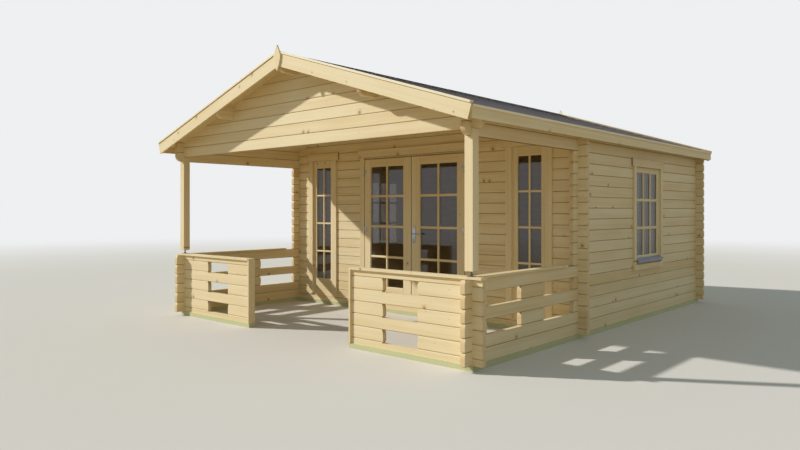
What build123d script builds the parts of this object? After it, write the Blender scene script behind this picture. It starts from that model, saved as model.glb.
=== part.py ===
from build123d import *
import os
from math import ceil, cos, radians, sin, tan

os.makedirs("parts", exist_ok=True)

# Log cabin with a covered front porch.
# X runs to the right seen from the porch, Y to the back, Z up from the ground.

# Logs
course = 114  # height of one log
log_thickness = 44
log_overhang = 100  # a log's end beyond the outer face of the wall that it crosses
end_round_depth = 14  # rounded upper corner of a log's end
end_round_height = 48
end_toe_radius = 10  # its lower corner
groove_depth = 6  # V groove between two logs, on both faces

# Plan and height
cabin_width = 4340  # over the outer faces of the side walls
cabin_depth = 5350  # from the outer face of the porch front to that of the back wall
porch_depth = 1800  # from the porch front to the room's front wall
wall_courses = 18
rail_courses = 6
beam_course = 16  # the first log over the porch sides
gable_course = 16.5  # the first log over the porch front

# Bearers and floor
base_height = 45
base_width = 70
joist_count = 5
joist_width = 45
floor_thickness = 19
floor_gap = 5  # floor boards stop short of the logs
butt_gap = 0.3  # between beams and boards that meet end on

# Porch rails
panel_length = 1369  # front panel, from the outer face of the side wall
front_slot_offset = 568  # from the same face to the slots
front_slot_length = 402
side_slot_offset = 205  # from the porch front
side_slot_length = 528
rear_slot_offset = 1136  # these slots run on to the ends of the room's logs
slot_drop = 10  # how far a slot is cut into the log below it
cap_width = 90
cap_thickness = 20
cap_length = 1555  # side caps, from the porch front
end_board_width = 83
end_board_thickness = 20

# Posts and the beams on them
post_side = 80
foot_height = 44
foot_plate = 56
foot_plate_thickness = 4
foot_rod = 14
beam_end_radius = 75  # lower corner of the beams' ends

# Roof
roof_pitch = 17.75
board_thickness = 20
covering_thickness = 6
front_reach = 210  # roof boards beyond the porch front
rear_reach = 120
eave_reach = 130  # roof boards beyond the side walls
covering_lip = 25  # covering beyond the roof boards, over the fascia
fascia_thickness = 20
fascia_depth = 95
barge_thickness = 20
barge_depth = 135
barge_rise = 18  # barge board above the covering
barge_end_reach = 160  # barge board's tip beyond the side walls
purlin_thickness = 44
purlin_depth = 152
purlin_offset = 1100  # side purlins from the middle
purlin_end_radius = 60
finial_height = 256
finial_width = 104
finial_drop = 50  # lower point below the barge boards' joint
finial_upper = 108  # from the widest place to the upper point
finial_upper_half = 29  # half width midway up, where the side is hollow
finial_lower_half = 37.5  # half width midway down, where the side swells
finial_thickness = 15

# Timber frames round the openings
casing_width = 75
window_casing_width = 65
casing_thickness = 20
casing_reveal = 6  # casing set back from the frame's inner face
header_height = 96
header_overhang = 40
frame_web = 34
inner_casing_width = 60
inner_casing_thickness = 16

# Double door
door_width = 1596  # between the jambs
door_top = 1888  # underside of the frame's head above the first log's bottom
door_sill_thickness = 22
leaf_thickness = 44
leaf_gap = 8  # round each leaf and between the two
stile_width = 98
meeting_stile_width = 122
leaf_top_rail = 88
leaf_bottom_rail = 178
stop_width = 18
stop_thickness = 10
stop_gap = 5.5
glass_thickness = 14
glass_fit = 0.15  # between the glass and its frame
hinge_pin_radius = 6
hinge_length = 90
hinge_flap_width = 30
hinge_flap_thickness = 3
hinge_count = 3
hinge_inset = 180  # outer hinges from the leaf's ends

# Door handle
handle_height = 935  # middle of the plate above the first log's bottom
handle_offset = 33  # middle of the plate from the middle of the door
lever_rise = 14  # lever above the plate's middle
plate_height = 190
plate_width = 36
plate_thickness = 8
lever_length = 115
lever_radius = 9
lever_reach = 45

# Side lights beside the door
sidelight_offset = 1612  # middle from the middle of the door
sidelight_width = 460  # opening in the logs
sidelight_stile = 50
sidelight_top_rail = 74
sidelight_bottom_rail = 211
fixed_sash_thickness = 36

# Side windows
window_offset = 3590  # middle from the porch front
window_width = 820  # opening in the logs
window_bottom_course = 5
window_top_course = 16
window_stile = 65
window_top_web = 88
window_top_rail = 56
window_bottom_rail = 90
sill_height = 55
sill_reach = 38

# Places worked out from these
opening_top_course = 17
side_x = cabin_width / 2
side_inner_x = side_x - log_thickness
front_total = front_reach + barge_thickness + finial_thickness
rear_total = rear_reach + barge_thickness + finial_thickness
y_front = (front_total - rear_total - cabin_depth) / 2
y_room = y_front + porch_depth
y_back = y_front + cabin_depth
slope = tan(radians(roof_pitch))
slope_cos = cos(radians(roof_pitch))
slope_sin = sin(radians(roof_pitch))
side_middle = side_x - log_thickness / 2
cross_columns = (-side_middle, side_middle)
roof_start = y_front - front_reach
roof_end = y_back + rear_reach
roof_length = roof_end - roof_start
far = cabin_width + cabin_depth  # larger than the cabin, for cutting shapes


def level(courses):
    """Height of a joint, counted in courses from the first log's bottom."""
    return base_height + courses * course


eaves_height = level(wall_courses)
ridge_height = eaves_height + side_x * slope


def roof_underside(x):
    """Height of the roof boards' lower face at a distance from the middle."""
    return ridge_height - abs(x) * slope


def slope_point(side, along, out):
    """Point of the roof's section, along a slope from the peak and out from its underside."""
    x = along * slope_cos + out * slope_sin
    return (side * x, ridge_height + out * slope_cos - along * slope_sin)


def plumb_point(side, x, out):
    """Point of the roof's section on a plumb line, out from the underside."""
    return (side * x, roof_underside(x) + out / slope_cos)


def log_end(end, low, inward):
    """Lines of a log's end, its upper corner rounded off more than its lower one."""
    toe = low + end_toe_radius
    bend = low + course - end_round_height
    TangentArc((end, toe), (end + inward * end_toe_radius, low), tangent=(0, -1))
    Line((end, toe), (end, bend))
    TangentArc((end, bend), (end + inward * end_round_depth, low + course), tangent=(0, 1))


def log_stack(start, end, first, last):
    """Elevation of whole logs laid on each other."""
    with BuildSketch() as stack:
        for low in [level(first + n) for n in range(ceil(last - first))]:
            with BuildLine():
                log_end(start, low, 1)
                log_end(end, low, -1)
                Line((start + end_toe_radius, low), (end - end_toe_radius, low))
                Line((start + end_round_depth, low + course), (end - end_round_depth, low + course))
            make_face()
    return stack.sketch


def log_gap(start, end, low):
    """Space between the ends of two logs in one course, cut a little into the log below."""
    left = start - end_toe_radius
    right = end + end_toe_radius
    top = low + course
    with BuildSketch() as space:
        with BuildLine():
            log_end(start, low, -1)
            log_end(end, low, 1)
            Polyline((left, low), (left, low - slot_drop), (right, low - slot_drop), (right, low))
            Line((start - end_round_depth, top), (end + end_round_depth, top))
        make_face()
    return space.sketch


def band(start, end, low, high):
    """Rectangle of an elevation, by its edges."""
    with BuildSketch() as piece:
        with Locations(((start + end) / 2, (low + high) / 2)):
            Rectangle(end - start, high - low)
    return piece.sketch


def grooves(face_low, face_high, joints):
    """Section of the V grooves on both faces of a log wall."""
    side = groove_depth * 2**0.5
    with BuildSketch() as section:
        with Locations(*[(face, level(n)) for face in (face_low, face_high) for n in joints]):
            Rectangle(side, side, rotation=45)
    return section.sketch


def under_roof():
    """Section of all that lies under the roof boards."""
    far_height = roof_underside(far)
    with BuildSketch() as section:
        with BuildLine():
            Polyline((-far, -far), (far, -far), (far, far_height), (0, ridge_height), (-far, far_height),
                     close=True)
        make_face()
    return section.sketch


def purlin_section(x):
    """Section of a purlin, bevelled to the roof's slopes."""
    low = roof_underside(x) - purlin_depth
    with BuildSketch() as section:
        add(band(x - purlin_thickness / 2, x + purlin_thickness / 2, low, ridge_height))
        add(under_roof(), mode=Mode.INTERSECT)
    return section.sketch


def rounded_purlin_ends(x):
    """Side elevation of a purlin, its lower corners rounded."""
    low = roof_underside(x) - purlin_depth
    with BuildSketch() as outline:
        add(band(roof_start, roof_end, low, ridge_height + purlin_depth))
        fillet(outline.vertices().group_by(Axis.Y)[0], purlin_end_radius)
    return outline.sketch


side_joints = range(1, wall_courses)
cross_joints = [n + 0.5 for n in range(ceil(ridge_height / course))]
purlin_places = (-purlin_offset, 0, purlin_offset)
rear_column = y_back - log_thickness / 2
room_column = y_room + log_thickness / 2
front_column = y_front + log_thickness / 2
window_low = level(window_bottom_course)
window_high = level(window_top_course)
window_start = y_front + window_offset - window_width / 2
window_end = y_front + window_offset + window_width / 2
wall_start = y_room - log_overhang
wall_end = y_back + log_overhang
porch_start = y_front - log_overhang
cross_reach = side_x + log_overhang
panel_end = side_x - panel_length

# Bearers under the walls, and joists under the room's floor
room_start = y_room + log_thickness
room_end = y_back - log_thickness
bearer_half = side_middle - base_width / 2  # between the two outer bearers, halved
joist_space = room_end - room_start
joist_places = [room_start + joist_space * (n + 1) / (joist_count + 1) for n in range(joist_count)]
with BuildPart() as base_beams:
    with BuildSketch():
        for side in (-1, 1):
            edges = sorted((side * bearer_half, side * (bearer_half + base_width)))
            add(band(*edges, front_column - base_width / 2, rear_column + base_width / 2))
            ends = sorted((side * (panel_end - end_board_thickness), side * (bearer_half - butt_gap)))
            add(band(*ends, front_column - base_width / 2, front_column + base_width / 2))
        for y in (room_column, rear_column):
            with Locations((0, y)):
                Rectangle(2 * (bearer_half - butt_gap), base_width)
        for y in joist_places:
            with Locations((0, y)):
                Rectangle(2 * (bearer_half - butt_gap), joist_width)
    extrude(amount=base_height)
base_beams.part.label = "base_beams"
export_step(base_beams.part, "parts/base_beams.step")

# Floor boards of the room
floor_half = side_inner_x - floor_gap
with BuildPart() as room_floor:
    with BuildSketch(Plane.XY.offset(base_height)):
        add(band(-floor_half, floor_half, room_start + floor_gap, room_end - floor_gap))
    extrude(amount=floor_thickness)
room_floor.part.label = "room_floor"
export_step(room_floor.part, "parts/room_floor.step")


def side_wall_piece(side, first, last, start, region, columns):
    """Part of a side wall: stacked logs, notched where other walls cross, within a region."""
    face = side_x - log_thickness if side > 0 else -side_x
    with BuildPart() as piece:
        with BuildSketch(Plane.YZ.offset(face)):
            add(log_stack(start, wall_end, first, last))
            add(region, mode=Mode.INTERSECT)
            with Locations(*[(y, level(n)) for y, n in columns]):
                Rectangle(log_thickness, course / 2, mode=Mode.SUBTRACT)
        extrude(amount=log_thickness)
        with BuildSketch(Plane.XZ.offset(-far)):
            add(grooves(face, face + log_thickness, side_joints))
        extrude(amount=2 * far, mode=Mode.SUBTRACT)
        with BuildSketch(Plane.XZ.offset(-far)):
            add(under_roof())
        extrude(amount=2 * far, mode=Mode.INTERSECT)
    return piece.part


def lower_region():
    """Lower logs of a side wall, without the porch slots and the window's notch."""
    with BuildSketch() as region:
        add(band(-far, far, level(0), level(rail_courses)))
        add(band(window_start, window_end, window_low, far), mode=Mode.SUBTRACT)
        for n in (2, 4):
            start = y_front + side_slot_offset
            add(log_gap(start, start + side_slot_length, level(n)), mode=Mode.SUBTRACT)
            add(log_gap(y_front + rear_slot_offset, wall_start, level(n)), mode=Mode.SUBTRACT)
    return region.sketch


rail_notches = range(rail_courses + 1)
beam_notches = range(beam_course + 1, wall_courses + 1)
pier_notches = range(rail_courses, beam_course + 1)
lower_columns = [(y, n) for y in (front_column, room_column, rear_column) for n in rail_notches]
upper_columns = [(front_column, n) for n in beam_notches]
upper_columns += [(y, n) for y in (room_column, rear_column) for n in range(beam_course, wall_courses + 1)]
top_course = wall_courses + 1
with BuildSketch() as beam_region:
    add(band(porch_start, far, level(beam_course), far))
    fillet(beam_region.vertices().group_by(Axis.Y)[0].sort_by(Axis.X)[0], beam_end_radius)

for name, side in (("left", -1), ("right", 1)):
    # Lowest logs, from the porch front to the back, with the porch rail's slots
    lower = side_wall_piece(side, 0, rail_courses, porch_start, lower_region(), lower_columns)
    lower.label = name + "_wall_lower"
    export_step(lower, "parts/" + lower.label + ".step")

    # Short logs between the room's front corner and the window
    region = band(-far, window_start, level(rail_courses), level(beam_course))
    columns = [(room_column, n) for n in pier_notches]
    pier = side_wall_piece(side, rail_courses, beam_course, wall_start, region, columns)
    pier.label = name + "_wall_front_logs"
    export_step(pier, "parts/" + pier.label + ".step")

    # Short logs between the window and the back corner
    region = band(window_end, far, level(rail_courses), level(beam_course))
    columns = [(rear_column, n) for n in pier_notches]
    pier = side_wall_piece(side, rail_courses, beam_course, wall_start, region, columns)
    pier.label = name + "_wall_rear_logs"
    export_step(pier, "parts/" + pier.label + ".step")

    # Top logs, which carry the roof over the porch too
    upper = side_wall_piece(side, beam_course, top_course, porch_start, beam_region.sketch, upper_columns)
    upper.label = name + "_wall_upper"
    export_step(upper, "parts/" + upper.label + ".step")


def cross_wall_piece(face_y, region, notch_levels):
    """Part of a wall across the cabin: logs half a course off the side walls' logs."""
    with BuildPart() as piece:
        with BuildSketch(Plane.XZ.offset(-face_y - log_thickness)):
            add(log_stack(-cross_reach, cross_reach, -0.5, ceil(ridge_height / course)))
            add(region, mode=Mode.INTERSECT)
            with Locations(*[(x, level(n)) for x in cross_columns for n in notch_levels]):
                Rectangle(log_thickness, course / 2, mode=Mode.SUBTRACT)
        extrude(amount=log_thickness)
        with BuildSketch(Plane.YZ.offset(-far)):
            add(grooves(face_y, face_y + log_thickness, cross_joints))
        extrude(amount=2 * far, mode=Mode.SUBTRACT)
    return piece.part


def gable_region(low):
    """Logs of a gable from a height to the roof, with the purlins' slots."""
    with BuildSketch() as region:
        add(under_roof())
        add(band(-far, far, low, far), mode=Mode.INTERSECT)
        for x in purlin_places:
            add(purlin_section(x), mode=Mode.SUBTRACT)
    return region.sketch


wall_notches = [n + 0.5 for n in range(wall_courses)]
opening_top = level(opening_top_course)
door_cut = door_width / 2 + frame_web
sidelight_cuts = [(side * sidelight_offset - sidelight_width / 2, side * sidelight_offset + sidelight_width / 2)
                  for side in (-1, 1)]
sill_log_top = level(0.5)
lintel_low = level(gable_course)

# Room's front wall: half log under the door and the side lights
sill_log = cross_wall_piece(y_room, band(-far, far, level(0), sill_log_top), wall_notches)
sill_log.label = "room_front_sill_log"
export_step(sill_log, "parts/room_front_sill_log.step")

# Room's front wall: short logs beside the openings
pier_bands = (("room_front_left_corner", -far, sidelight_cuts[0][0]),
              ("room_front_left_pier", sidelight_cuts[0][1], -door_cut),
              ("room_front_right_pier", door_cut, sidelight_cuts[1][0]),
              ("room_front_right_corner", sidelight_cuts[1][1], far))
for name, start, end in pier_bands:
    pier = cross_wall_piece(y_room, band(start, end, sill_log_top, lintel_low), wall_notches)
    pier.label = name
    export_step(pier, "parts/" + name + ".step")

# Room's front wall: logs over the openings, up to the roof
with BuildSketch() as room_gable_region:
    add(gable_region(lintel_low))
    for start, end in (*sidelight_cuts, (-door_cut, door_cut)):
        add(band(start, end, lintel_low, opening_top), mode=Mode.SUBTRACT)
room_gable = cross_wall_piece(y_room, room_gable_region.sketch, wall_notches)
room_gable.label = "room_front_gable"
export_step(room_gable, "parts/room_front_gable.step")

# Back wall
back_wall = cross_wall_piece(y_back - log_thickness, gable_region(level(0)), wall_notches)
back_wall.label = "back_wall"
export_step(back_wall, "parts/back_wall.step")

# Porch gable over the posts
with BuildSketch() as porch_gable_region:
    add(band(-cross_reach, cross_reach, lintel_low, ridge_height))
    fillet(porch_gable_region.vertices().group_by(Axis.Y)[0], beam_end_radius)
    add(gable_region(lintel_low), mode=Mode.INTERSECT)
porch_gable = cross_wall_piece(y_front, porch_gable_region.sketch, wall_notches)
porch_gable.label = "porch_gable"
export_step(porch_gable, "parts/porch_gable.step")

# Front panels of the porch rail
for name, side in (("left", -1), ("right", 1)):
    with BuildSketch() as panel_region:
        ends = sorted((side * far, side * (side_x - panel_length)))
        add(band(*ends, level(0), level(rail_courses)))
        slot = sorted((side * (side_x - front_slot_offset),
                       side * (side_x - front_slot_offset - front_slot_length)))
        for n in (0.5, 2.5, 4.5):
            add(log_gap(*slot, level(n)), mode=Mode.SUBTRACT)
    panel = cross_wall_piece(y_front, panel_region.sketch, wall_notches)
    panel.label = name + "_front_panel"
    export_step(panel, "parts/" + panel.label + ".step")

# Caps on the rail, butted at each corner
cap_outer = side_middle + cap_width / 2
cap_inner = side_middle - cap_width / 2
cap_front = front_column - cap_width / 2
cap_back = front_column + cap_width / 2
with BuildPart() as rail_caps:
    with BuildSketch(Plane.XY.offset(level(rail_courses))):
        for side in (-1, 1):
            add(band(*sorted((side * panel_end, side * cross_reach)), cap_front, cap_back))
            add(band(*sorted((side * cap_inner, side * cap_outer)), cap_back + butt_gap, y_front + cap_length))
    extrude(amount=cap_thickness)
rail_caps.part.label = "rail_caps"
export_step(rail_caps.part, "parts/rail_caps.step")

# Boards that close the panels' ends at the entry
with BuildPart() as rail_end_boards:
    with BuildSketch(Plane.XY.offset(base_height)):
        for side in (-1, 1):
            edges = sorted((side * panel_end, side * (panel_end - end_board_thickness)))
            add(band(*edges, front_column - end_board_width / 2, front_column + end_board_width / 2))
    extrude(amount=level(rail_courses) + cap_thickness - base_height)
rail_end_boards.part.label = "rail_end_boards"
export_step(rail_end_boards.part, "parts/rail_end_boards.step")

# Feet that hold the posts clear of the rail
cap_top = level(rail_courses) + cap_thickness
post_places = [(x, front_column) for x in cross_columns]
rod_length = foot_height - 2 * foot_plate_thickness
with BuildPart() as post_feet:
    with BuildSketch(Plane.XY.offset(cap_top)):
        with Locations(*post_places):
            Rectangle(foot_plate, foot_plate)
    extrude(amount=foot_plate_thickness)
    with BuildSketch(Plane.XY.offset(cap_top + foot_plate_thickness)):
        with Locations(*post_places):
            Circle(foot_rod / 2)
    extrude(amount=rod_length)
    with BuildSketch(Plane.XY.offset(cap_top + foot_plate_thickness + rod_length)):
        with Locations(*post_places):
            Rectangle(foot_plate, foot_plate)
    extrude(amount=foot_plate_thickness)
post_feet.part.label = "post_feet"
export_step(post_feet.part, "parts/post_feet.step")

# Posts, slotted over the porch's top logs
post_low = cap_top + foot_height
with BuildPart() as porch_posts:
    with BuildSketch(Plane.XY.offset(post_low)):
        with Locations(*post_places):
            Rectangle(post_side, post_side)
    extrude(amount=lintel_low - butt_gap - post_low)
    with BuildSketch(Plane.XY.offset(level(beam_course))):
        with Locations(*post_places):
            Rectangle(log_thickness, post_side)
    extrude(amount=far, mode=Mode.SUBTRACT)
porch_posts.part.label = "porch_posts"
export_step(porch_posts.part, "parts/porch_posts.step")

# Purlins from barge board to barge board, their lower corners rounded
with BuildPart() as purlins:
    with BuildSketch(Plane.XZ.offset(-roof_end)):
        for x in purlin_places:
            add(purlin_section(x))
    extrude(amount=roof_length)
    for x in purlin_places:
        with BuildSketch(Plane.YZ.offset(x - purlin_thickness)):
            add(band(-far, far, roof_underside(x) - purlin_depth - log_thickness, far))
            add(rounded_purlin_ends(x), mode=Mode.SUBTRACT)
        extrude(amount=2 * purlin_thickness, mode=Mode.SUBTRACT)
purlins.part.label = "purlins"
export_step(purlins.part, "parts/purlins.step")

# Roof boards and the covering on them
board_end = side_x + eave_reach
cover_end = board_end + covering_lip
cover_top = board_thickness + covering_thickness
for name, side in (("left", -1), ("right", 1)):
    with BuildPart() as roof_boards:
        with BuildSketch(Plane.XZ.offset(-roof_end)):
            with BuildLine():
                Polyline(plumb_point(side, 0, 0), plumb_point(side, board_end, 0),
                         plumb_point(side, board_end, board_thickness),
                         plumb_point(side, 0, board_thickness), close=True)
            make_face()
        extrude(amount=roof_length)
    roof_boards.part.label = name + "_roof_boards"
    export_step(roof_boards.part, "parts/" + name + "_roof_boards.step")

    with BuildPart() as covering:
        with BuildSketch(Plane.XZ.offset(-roof_end)):
            with BuildLine():
                Polyline(plumb_point(side, 0, board_thickness), plumb_point(side, cover_end, board_thickness),
                         plumb_point(side, cover_end, cover_top), plumb_point(side, 0, cover_top), close=True)
            make_face()
        extrude(amount=roof_length)
    covering.part.label = name + "_roof_covering"
    export_step(covering.part, "parts/" + name + "_roof_covering.step")

# Fascias along the eaves
fascia_outer = board_end + fascia_thickness
fascia_low = plumb_point(1, fascia_outer, board_thickness)[1] - fascia_depth
with BuildPart() as fascias:
    with BuildSketch(Plane.XZ.offset(-roof_end)):
        for side in (-1, 1):
            with BuildLine():
                Polyline((side * board_end, fascia_low), (side * fascia_outer, fascia_low),
                         plumb_point(side, fascia_outer, board_thickness),
                         plumb_point(side, board_end, board_thickness), close=True)
            make_face()
    extrude(amount=roof_length)
fascias.part.label = "fascias"
export_step(fascias.part, "parts/fascias.step")

# Barge boards at both ends of the roof
barge_out = cover_top + barge_rise
barge_in = barge_out - barge_depth
barge_along = (side_x + barge_end_reach - barge_out * slope_sin) / slope_cos
with BuildPart() as barge_boards:
    for back in (roof_start, roof_end + barge_thickness):
        with BuildSketch(Plane.XZ.offset(-back)):
            for side in (-1, 1):
                with BuildLine():
                    Polyline(plumb_point(side, butt_gap / 2, barge_in), slope_point(side, barge_along, barge_in),
                             slope_point(side, barge_along, barge_out),
                             plumb_point(side, butt_gap / 2, barge_out), close=True)
                make_face()
        extrude(amount=barge_thickness)
barge_boards.part.label = "barge_boards"
export_step(barge_boards.part, "parts/barge_boards.step")

# Finials over the barge boards' joints
finial_low = plumb_point(1, 0, barge_in)[1] - finial_drop
finial_high = finial_low + finial_height
finial_waist = finial_high - finial_upper
with BuildPart() as finials:
    for back in (roof_start - barge_thickness, roof_end + barge_thickness + finial_thickness):
        with BuildSketch(Plane.XZ.offset(-back)):
            with BuildLine():
                right_upper = (finial_upper_half, (finial_high + finial_waist) / 2)
                right_lower = (finial_lower_half, (finial_low + finial_waist) / 2)
                left_upper = (-right_upper[0], right_upper[1])
                left_lower = (-right_lower[0], right_lower[1])
                ThreePointArc((0, finial_high), right_upper, (finial_width / 2, finial_waist))
                ThreePointArc((finial_width / 2, finial_waist), right_lower, (0, finial_low))
                ThreePointArc((0, finial_low), left_lower, (-finial_width / 2, finial_waist))
                ThreePointArc((-finial_width / 2, finial_waist), left_upper, (0, finial_high))
            make_face()
        extrude(amount=finial_thickness)
finials.part.label = "finials"
export_step(finials.part, "parts/finials.step")


def frame_ring(cut, inner):
    """Ring between an opening in the logs and the frame's inner edges."""
    with BuildSketch() as ring:
        add(band(*cut))
        add(band(*inner), mode=Mode.SUBTRACT)
    return ring.sketch


def casing_ring(inner, width, header, bottom):
    """Casing boards round an opening: two uprights, a longer header and a bottom board."""
    start, end, low, high = inner
    with BuildSketch() as ring:
        add(band(start - width, end + width, low - bottom, high))
        add(band(start - width - header_overhang, end + width + header_overhang, high, high + header))
        add(band(start, end, low, high), mode=Mode.SUBTRACT)
    return ring.sketch


def grown(edges, margin):
    """Edges of a rectangle moved out by a margin."""
    start, end, low, high = edges
    return (start - margin, end + margin, low - margin, high + margin)


# Door frame
door_cut_edges = (-door_cut, door_cut, sill_log_top, opening_top)
head_low = base_height + door_top
door_low = sill_log_top + door_sill_thickness
door_inner = (-door_width / 2, door_width / 2, door_low, head_low)
door_face = y_room - casing_thickness
door_stop = (door_inner[0] + stop_width, door_inner[1] - stop_width, door_low, head_low - stop_width)
door_casing = (door_inner[0] - casing_reveal, door_inner[1] + casing_reveal, sill_log_top,
               head_low + casing_thickness)
inner_face = y_room + log_thickness
leaf_back = door_face + leaf_thickness
with BuildPart() as door_frame:
    with BuildSketch(Plane.XZ.offset(-inner_face)):
        add(frame_ring(door_cut_edges, door_inner))
    extrude(amount=log_thickness)
    with BuildSketch(Plane.XZ.offset(-y_room)):
        add(casing_ring(door_casing, casing_width, header_height, 0))
        add(band(-far, far, 0, door_low), mode=Mode.SUBTRACT)
    extrude(amount=casing_thickness)
    with BuildSketch(Plane.XZ.offset(-inner_face - inner_casing_thickness)):
        add(casing_ring(door_inner, inner_casing_width, inner_casing_width, 0))
        add(band(-far, far, 0, door_low), mode=Mode.SUBTRACT)
    extrude(amount=inner_casing_thickness)
    with BuildSketch(Plane.XZ.offset(-leaf_back - stop_gap - stop_thickness)):
        add(frame_ring(door_inner, door_stop))
    extrude(amount=stop_thickness)
door_frame.part.label = "door_frame"
export_step(door_frame.part, "parts/door_frame.step")

# Door leaves, their glass, and the hinges on both sides of each joint
leaf_low = door_low + leaf_gap
leaf_high = head_low - leaf_gap
leaf_outer = door_width / 2 - leaf_gap
leaf_inner = leaf_gap / 2
glass_low = leaf_low + leaf_bottom_rail
glass_high = leaf_high - leaf_top_rail
glass_outer = leaf_outer - stile_width
glass_inner = leaf_inner + meeting_stile_width
hinge_x = leaf_outer + leaf_gap / 2
hinge_y = door_face - hinge_flap_thickness - hinge_pin_radius
glass_back = door_face + (leaf_thickness + glass_thickness) / 2
hinge_span = leaf_high - leaf_low - 2 * hinge_inset
hinge_levels = [leaf_low + hinge_inset + hinge_span * n / (hinge_count - 1) for n in range(hinge_count)]
for name, side in (("left", -1), ("right", 1)):
    with BuildPart() as leaf:
        with BuildSketch(Plane.XZ.offset(-leaf_back)):
            add(band(*sorted((side * leaf_inner, side * leaf_outer)), leaf_low, leaf_high))
            add(band(*sorted((side * glass_inner, side * glass_outer)), glass_low, glass_high),
                mode=Mode.SUBTRACT)
        extrude(amount=leaf_thickness)
        with BuildSketch(Plane.XZ.offset(-door_face)):
            for z in hinge_levels:
                flap = sorted((side * leaf_outer, side * (leaf_outer - hinge_flap_width)))
                add(band(*flap, z, z + hinge_length / 2))
        extrude(amount=hinge_flap_thickness)
        for z in hinge_levels:
            with BuildSketch(Plane.XY.offset(z)):
                with Locations((side * hinge_x, hinge_y)):
                    Circle(hinge_pin_radius)
                knuckle = sorted((side * hinge_x, side * (leaf_outer - hinge_flap_width)))
                add(band(*knuckle, door_face - 2 * hinge_flap_thickness, door_face - hinge_flap_thickness))
            extrude(amount=hinge_length / 2)
    leaf.part.label = name + "_door_leaf"
    export_step(leaf.part, "parts/" + name + "_door_leaf.step")

    with BuildPart() as leaf_glass:
        with BuildSketch(Plane.XZ.offset(-glass_back)):
            pane = (*sorted((side * glass_inner, side * glass_outer)), glass_low, glass_high)
            add(band(*grown(pane, -glass_fit)))
        extrude(amount=glass_thickness)
    leaf_glass.part.label = name + "_door_glass"
    export_step(leaf_glass.part, "parts/" + name + "_door_glass.step")

# Door handle: a plate with a lever on the right leaf's meeting stile
handle_z = base_height + handle_height
lever_z = handle_z + lever_rise
with BuildPart() as door_handle:
    with BuildSketch(Plane.XZ.offset(-door_face)):
        with Locations((handle_offset, handle_z)):
            SlotCenterToCenter(plate_height - plate_width, plate_width, rotation=90)
    extrude(amount=plate_thickness)
    with BuildSketch(Plane.XZ.offset(-door_face + plate_thickness)):
        with Locations((handle_offset, lever_z)):
            Circle(lever_radius)
    extrude(amount=lever_reach)
    with BuildSketch(Plane.YZ.offset(handle_offset)):
        with Locations((door_face - plate_thickness - lever_reach + lever_radius, lever_z)):
            Circle(lever_radius)
    extrude(amount=lever_length)
door_handle.part.label = "door_handle"
export_step(door_handle.part, "parts/door_handle.step")

# Side lights: frame with its fixed sash, and the glass
sidelight_low = sill_log_top + door_sill_thickness
for name, (start, end) in zip(("left", "right"), sidelight_cuts):
    cut = (start, end, sill_log_top, opening_top)
    inner = (start + frame_web, end - frame_web, sidelight_low, head_low)
    pane = (inner[0] + sidelight_stile, inner[1] - sidelight_stile,
            sidelight_low + sidelight_bottom_rail, head_low - sidelight_top_rail)
    casing = (inner[0] - casing_reveal, inner[1] + casing_reveal, sill_log_top, head_low + casing_thickness)
    with BuildPart() as sidelight:
        with BuildSketch(Plane.XZ.offset(-inner_face)):
            add(frame_ring(cut, inner))
        extrude(amount=log_thickness)
        with BuildSketch(Plane.XZ.offset(-inner_face)):
            add(frame_ring(inner, pane))
        extrude(amount=fixed_sash_thickness)
        with BuildSketch(Plane.XZ.offset(-y_room)):
            add(casing_ring(casing, casing_width, header_height, 0))
            add(band(-far, far, 0, sidelight_low), mode=Mode.SUBTRACT)
        extrude(amount=casing_thickness)
        with BuildSketch(Plane.XZ.offset(-inner_face - inner_casing_thickness)):
            add(casing_ring(inner, inner_casing_width, inner_casing_width, 0))
            add(band(-far, far, 0, sidelight_low), mode=Mode.SUBTRACT)
        extrude(amount=inner_casing_thickness)
    sidelight.part.label = name + "_sidelight_frame"
    export_step(sidelight.part, "parts/" + name + "_sidelight_frame.step")

sidelight_glass_back = inner_face - (fixed_sash_thickness - glass_thickness) / 2
with BuildPart() as sidelight_glass:
    with BuildSketch(Plane.XZ.offset(-sidelight_glass_back)):
        for start, end in sidelight_cuts:
            pane = (start + frame_web + sidelight_stile, end - frame_web - sidelight_stile,
                    sidelight_low + sidelight_bottom_rail, head_low - sidelight_top_rail)
            add(band(*grown(pane, -glass_fit)))
    extrude(amount=glass_thickness)
sidelight_glass.part.label = "sidelight_glass"
export_step(sidelight_glass.part, "parts/sidelight_glass.step")

# Side windows: frame with its sash, the sill below and the glass
window_cut = (window_start, window_end, window_low, window_high)
window_inner = (window_start + frame_web, window_end - frame_web, window_low + frame_web,
                window_high - window_top_web)
window_pane = (window_inner[0] + window_stile, window_inner[1] - window_stile,
               window_inner[2] + window_bottom_rail, window_inner[3] - window_top_rail)
sill_low = window_inner[2] + casing_thickness
for name, side in (("left", -1), ("right", 1)):
    outer_face = side_x if side > 0 else -side_x - casing_thickness
    log_face = side_inner_x if side > 0 else -side_x
    room_face = side_inner_x - inner_casing_thickness if side > 0 else -side_inner_x
    sash_face = side_inner_x if side > 0 else -side_inner_x - fixed_sash_thickness
    with BuildPart() as window:
        with BuildSketch(Plane.YZ.offset(log_face)):
            add(frame_ring(window_cut, window_inner))
        extrude(amount=log_thickness)
        with BuildSketch(Plane.YZ.offset(sash_face)):
            add(frame_ring(window_inner, window_pane))
        extrude(amount=fixed_sash_thickness)
        with BuildSketch(Plane.YZ.offset(outer_face)):
            add(casing_ring(window_inner, window_casing_width, header_height, window_casing_width))
        extrude(amount=casing_thickness)
        with BuildSketch(Plane.YZ.offset(room_face)):
            add(casing_ring(window_inner, inner_casing_width, inner_casing_width, inner_casing_width))
        extrude(amount=inner_casing_thickness)
    window.part.label = name + "_window_frame"
    export_step(window.part, "parts/" + name + "_window_frame.step")

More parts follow.
